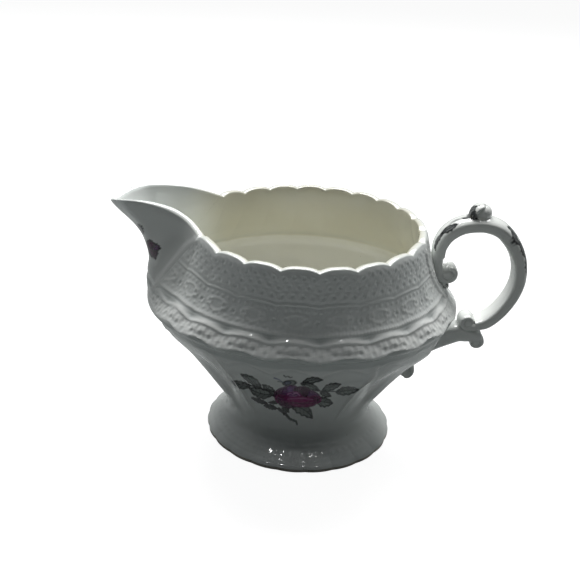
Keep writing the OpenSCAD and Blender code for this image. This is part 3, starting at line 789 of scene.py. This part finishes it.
def paint_thumb(s, y, up):
    g = Print(s, y)
    g.leaf((0.8, -0.4), (5.6, -1.2), 4.4, 0.2, DEEP_GREEN, INK, 4)
    g.leaf((1.0, -2.4), (4.4, -2.8), 1.8, 0.1, DEEP_GREEN, INK, 1)
    g.stroke([(4.6, -1.2), (6.8, -1.6), (8.0, -1.0)], 0.45)
    return g.rgb, g.a * (up > -0.35)


top_scroll = handle_piece("handle_top_scroll_curl", [
    rod(SCROLL, 150, 64, flat=0.5, crown=0.4, round_ends=(0, 0.8)),
    ball((52.6, 0, 73.6), 3.2, 3.85, dimple=0.25),
    rod([[0, 50.4, 71.2, 1.4, 2.4], [1, 51.7, 69.4, 1.5, 2.3], [2, 52.9, 68.0, 1.2, 1.8], [3, 53.6, 66.9, 0.8, 1.2]], 44, 40,
        flat=0.7, crown=0.4, round_ends=(1.2, 1.4), paint=paint_nub)])
knob = handle_piece("handle_thumb_knob", [
    ball((61.9, 0, 97.6), 3.1, 3.25),
    ball((61.7, -0.2, 95.6), 2.7, 3.4),
    rod([[0, 57.7, 94.6, 0.8, 2.6], [1, 58.2, 96.8, 1.2, 3.2], [2, 59.2, 98.8, 1.4, 3.3], [3, 60.8, 100.1, 1.1, 2.9],
         [4, 62.6, 100.5, 0.6, 1.9]], 80, 48, flat=0.8, crown=0.6, groove=0.15, round_ends=(0.8, 1.4), paint=paint_thumb)])
strut = handle_piece("handle_lower_strut", [rod(STRUT, 200, 72, flat=0.55, crown=0.4, round_ends=(1.4, 0.5))])
lower_scroll = handle_piece("handle_lower_scroll_curl", [
    rod([[0, 67.6, 53.0, 1.9, 4.2], [1, 65.4, 52.2, 1.6, 4.0], [2, 62.6, 51.7, 1.3, 3.8], [3, 60.6, 53.0, 1.2, 3.7],
         [4, 60.9, 55.5, 1.1, 3.6], [5, 63.2, 56.3, 1.0, 3.5], [6, 64.9, 54.9, 0.9, 3.3]], 110, 56, flat=0.5, crown=0.4, round_ends=(0, 0.8)),
    ball((62.9, 0, 54.0), 3.1, 3.75, dimple=0.25)])
outer_curl = handle_piece("handle_outer_curl", [
    rod([[0, 67.4, 47.6, 1.2, 3.4], [1, 69.1, 46.8, 1.1, 3.3], [2, 69.6, 45.2, 1.0, 3.2], [3, 68.2, 43.8, 0.9, 3.1],
         [4, 66.3, 44.0, 0.8, 3.0], [5, 65.7, 45.6, 0.7, 2.8]], 90, 48, flat=0.5, crown=0.4, round_ends=(0.6, 0.7)),
    ball((67.4, 0, 45.6), 2.5, 3.25, dimple=0.2)])
foot_curl = handle_piece("handle_strut_foot_curl", [
    ball((42.4, 0, 29.2), 2.8, 3.1, dimple=0.2),
    rod([[0, 41.6, 33.2, 1.2, 2.8], [1, 44.2, 31.7, 1.0, 2.8], [2, 44.7, 29.2, 0.9, 2.7], [3, 43.4, 27.3, 0.8, 2.6],
         [4, 41.4, 27.2, 0.8, 2.5]], 70, 44, flat=0.6, crown=0.4, round_ends=(0.8, 0.8))])


# ---------------------------------------------------------------- materials
def material(name):
    mat = bpy.data.materials.new(name)
    mat.use_nodes = True
    nt = mat.node_tree
    nt.nodes.clear()
    out = nt.nodes.new("ShaderNodeOutputMaterial")
    bsdf = nt.nodes.new("ShaderNodeBsdfPrincipled")
    nt.links.new(bsdf.outputs[0], out.inputs[0])
    return mat, nt, bsdf


def add(nt, kind, **kw):
    node = nt.nodes.new(kind)
    for k, v in kw.items():
        setattr(node, k, v)
    return node


def mixer(nt, fac, a, b, blend="MIX"):
    mx = add(nt, "ShaderNodeMix", data_type="RGBA", blend_type=blend)
    mx.clamp_factor = True
    for sock, val in ((mx.inputs[0], fac), (mx.inputs[6], a), (mx.inputs[7], b)):
        if isinstance(val, bpy.types.NodeSocket):
            nt.links.new(val, sock)
        elif isinstance(val, (int, float)):
            sock.default_value = val
        else:
            sock.default_value = (*val, 1.0)
    return mx.outputs[2]


def ramp(nt, src, lo, hi, a=0.0, b=1.0):
    mr = add(nt, "ShaderNodeMapRange")
    nt.links.new(src, mr.inputs[0])
    for i, v in ((1, lo), (2, hi), (3, a), (4, b)):
        mr.inputs[i].default_value = v
    return mr.outputs[0]


def noise(nt, vec, scale, detail=2.0, rough=0.5):
    nz = add(nt, "ShaderNodeTexNoise")
    nt.links.new(vec, nz.inputs["Vector"])
    nz.inputs["Scale"].default_value = scale
    nz.inputs["Detail"].default_value = detail
    nz.inputs["Roughness"].default_value = rough
    return nz.outputs["Fac"]


def glaze(name, white, cream):
    mat, nt, b = material(name)
    co = add(nt, "ShaderNodeTexCoord").outputs["Object"]
    inside = add(nt, "ShaderNodeAttribute", attribute_name="cream").outputs["Fac"]
    pooling_and_light_fac = add(nt, "ShaderNodeAttribute", attribute_name="pooling_and_painted_light").outputs["Fac"]
    ink = add(nt, "ShaderNodeAttribute", attribute_name="ink")
    col = mixer(nt, inside, white, cream)
    # slow drift of tone in the glaze, and darker, cooler glaze in the hollows of the relief: partly glaze pooling,
    # partly painted shade, which also darkens the undercut under the collar, the cove over the dimpled band and the
    # inner ledge
    col = mixer(nt, ramp(nt, noise(nt, co, 34.0, 3.0), 0.35, 0.70, 0.0, 0.30), col, (0.72, 0.74, 0.70))
    col = mixer(nt, ramp(nt, pooling_and_light_fac, -0.02, -0.28, 0.0, 0.48), col, (0.42, 0.47, 0.46))
    # painted highlight: raised relief, the dimpled band and the lower inner wall are mixed toward a lighter white
    col = mixer(nt, ramp(nt, pooling_and_light_fac, 0.04, 0.34, 0.0, 0.50), col, (0.93, 0.94, 0.92))
    # rare iron specks
    vor = add(nt, "ShaderNodeTexVoronoi", feature="F1")
    nt.links.new(co, vor.inputs["Vector"])
    vor.inputs["Scale"].default_value = 95.0
    speck = ramp(nt, vor.outputs["Distance"], 0.030, 0.012, 0.0, 0.55)
    col = mixer(nt, speck, col, (0.22, 0.19, 0.15))
    # printed colour under the glaze, slightly broken like a transfer
    br = ramp(nt, noise(nt, co, 700.0, 2.0), 0.25, 0.55, 0.90, 1.0)
    ml = add(nt, "ShaderNodeMath", operation="MULTIPLY")
    nt.links.new(ink.outputs["Alpha"], ml.inputs[0])
    nt.links.new(br, ml.inputs[1])
    col = mixer(nt, ml.outputs[0], col, ink.outputs["Color"])
    nt.links.new(col, b.inputs["Base Color"])
    nt.links.new(ramp(nt, noise(nt, co, 120.0, 3.0), 0.3, 0.75, 0.07, 0.16), b.inputs["Roughness"])
    b.inputs["IOR"].default_value = 1.52
    b.inputs["Coat Weight"].default_value = 0.35
    b.inputs["Coat Roughness"].default_value = 0.03
    bump = add(nt, "ShaderNodeBump")
    bump.inputs["Strength"].default_value = 0.12
    bump.inputs["Distance"].default_value = 0.0002
    nt.links.new(noise(nt, co, 420.0, 2.0), bump.inputs["Height"])
    nt.links.new(bump.outputs[0], b.inputs["Normal"])
    return mat


white_glaze = glaze("glaze_white_gloss", (0.80, 0.83, 0.82), (0.645, 0.63, 0.52))
handle_glaze = glaze("glaze_handle_gloss", (0.82, 0.84, 0.82), (0.80, 0.78, 0.60))

bare, nt, b = material("bare_biscuit")
co = add(nt, "ShaderNodeTexCoord").outputs["Object"]
col = mixer(nt, ramp(nt, noise(nt, co, 240.0, 6.0, 0.7), 0.3, 0.7), (0.50, 0.48, 0.42), (0.66, 0.63, 0.56))
col = mixer(nt, ramp(nt, noise(nt, co, 1300.0, 3.0), 0.60, 0.75, 0.0, 0.6), col, (0.24, 0.21, 0.17))
nt.links.new(col, b.inputs["Base Color"])
nt.links.new(ramp(nt, noise(nt, co, 600.0, 4.0), 0.3, 0.7, 0.62, 0.92), b.inputs["Roughness"])
bump = add(nt, "ShaderNodeBump")
bump.inputs["Strength"].default_value = 0.4
bump.inputs["Distance"].default_value = 0.0002
nt.links.new(noise(nt, co, 1500.0, 4.0), bump.inputs["Height"])
nt.links.new(bump.outputs[0], b.inputs["Normal"])

PIECES = [
    (ring, ("foot_ring",), "bare_ring", bare),
    (foot, ("foot",), "glaze_white", white_glaze),
    (bowl, ("lower_bowl",), "glaze_white", white_glaze),
    (collar, ("relief_collar",), "glaze_white", white_glaze),
    (spout, ("spout",), "glaze_white", white_glaze),
    (loop, ("handle_loop",), "glaze_handle", handle_glaze),
    (top_scroll, ("handle_top_scroll",), "glaze_handle", handle_glaze),
    (knob, ("thumb_knob",), "glaze_handle", handle_glaze),
    (lower_scroll, ("lower_scroll",), "glaze_handle", handle_glaze),
    (strut, ("handle_strut",), "glaze_handle", handle_glaze),
    (outer_curl, ("outer_curl",), "glaze_handle", handle_glaze),
    (foot_curl, ("strut_foot_curl",), "glaze_handle", handle_glaze),
]
for ob, nodes, slot, mat in PIECES:
    ob.data.materials.clear()
    ob.data.materials.append(mat)
    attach(ob, "root")
    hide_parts(*nodes)


# ---------------------------------------------------------------- floor and light
def plane(name, size, z, cx=0.0, cy=0.0):
    me = bpy.data.meshes.new(name)
    s = size / 2
    me.from_pydata([(cx - s, cy - s, z), (cx + s, cy - s, z), (cx + s, cy + s, z), (cx - s, cy + s, z)], [], [(0, 1, 2, 3)])
    ob = bpy.data.objects.new(name, me)
    scene.collection.objects.link(ob)
    return ob


def backdrop():
    """Pale sweep that only the camera sees: a flat floor that turns up into a wall all round."""
    prof = [(0.0, 0.0), (1.0, 0.0), (2.6, 0.0), (3.4, 0.12), (4.0, 0.5), (4.4, 1.2), (4.6, 2.6), (4.6, 5.0)]
    V, F = [(0, 0, -0.0002)], []
    N = 64
    for r, z in prof[1:]:
        V += [(r * math.cos(2 * math.pi * i / N), r * math.sin(2 * math.pi * i / N), z - 0.0002) for i in range(N)]
    for i in range(N):
        F.append((0, 1 + i, 1 + (i + 1) % N))
    for k in range(len(prof) - 2):
        for i in range(N):
            a, b_ = 1 + k * N + i, 1 + k * N + (i + 1) % N
            F.append((a, a + N, b_ + N, b_))
    me = bpy.data.meshes.new("studio_sweep")
    me.from_pydata(V, [], F)
    me.update()
    me.shade_smooth()
    ob = bpy.data.objects.new("studio_sweep", me)
    scene.collection.objects.link(ob)
    return ob


sweep = backdrop()
mat = bpy.data.materials.new("studio_white")
mat.use_nodes = True
nt = mat.node_tree
nt.nodes.clear()
out = nt.nodes.new("ShaderNodeOutputMaterial")
em = nt.nodes.new("ShaderNodeEmission")
em.inputs[0].default_value = (1.0, 1.0, 1.0, 1)
em.inputs[1].default_value = 0.93
df = nt.nodes.new("ShaderNodeBsdfDiffuse")
df.inputs[0].default_value = (0.25, 0.25, 0.25, 1)
sm = nt.nodes.new("ShaderNodeAddShader")
nt.links.new(em.outputs[0], sm.inputs[0])
nt.links.new(df.outputs[0], sm.inputs[1])
nt.links.new(sm.outputs[0], out.inputs[0])
sweep.data.materials.append(mat)
for flag in ("visible_diffuse", "visible_glossy", "visible_transmission", "visible_volume_scatter", "visible_shadow"):
    setattr(sweep, flag, False)

table = plane("studio_table", 1.2, -0.0004)
mat = bpy.data.materials.new("studio_table_pale")
mat.use_nodes = True
mat.node_tree.nodes["Principled BSDF"].inputs["Base Color"].default_value = (0.205, 0.215, 0.215, 1)
mat.node_tree.nodes["Principled BSDF"].inputs["Roughness"].default_value = 0.6
table.data.materials.append(mat)
table.visible_camera = False
table.visible_shadow = False


def softbox(name, loc, aim, sx, sy, power, colour=(1, 1, 1), glossy=True):
    L = bpy.data.lights.new(name, "AREA")
    L.shape = "RECTANGLE"
    L.size, L.size_y = sx, sy
    L.energy = power
    L.color = colour
    ob = bpy.data.objects.new(name, L)
    ob.location = loc
    d = np.array(aim, float) - np.array(loc, float)
    from mathutils import Vector
    ob.rotation_mode = "QUATERNION"
    ob.rotation_quaternion = Vector(d).to_track_quat("-Z", "Y")
    scene.collection.objects.link(ob)
    ob.visible_glossy = glossy
    return ob


softbox("key_window", (0.0, 0.46, 1.18), (0, 0, 0.07), 1.2, 0.6, 24, (1.0, 1.0, 0.99))
softbox("side_left", (-1.1, 0.35, 0.45), (0, 0, 0.06), 0.5, 0.7, 1.0, glossy=False)
softbox("side_right", (1.1, 0.35, 0.45), (0, 0, 0.06), 0.5, 0.7, 1.0, glossy=False)
softbox("lamp_left", (-0.34, -0.50, 1.18), (0, 0, 0.05), 0.04, 0.04, 0.45)
softbox("lamp_right", (0.30, -0.50, 1.18), (0, 0, 0.05), 0.04, 0.04, 0.36)

world = bpy.data.worlds.new("room")
scene.world = world
world.use_nodes = True
nt = world.node_tree
nt.nodes.clear()
wo = nt.nodes.new("ShaderNodeOutputWorld")
bg = nt.nodes.new("ShaderNodeBackground")
tc = nt.nodes.new("ShaderNodeTexCoord")
sp = nt.nodes.new("ShaderNodeSeparateXYZ")
nt.links.new(tc.outputs["Generated"], sp.inputs[0])
fr = ramp(nt, sp.outputs["Y"], -0.55, 0.55)
tone = mixer(nt, fr, (0.008, 0.010, 0.011), (0.17, 0.18, 0.18))
nt.links.new(tone, bg.inputs[0])
bg.inputs[1].default_value = 1.0
nt.links.new(bg.outputs[0], wo.inputs[0])
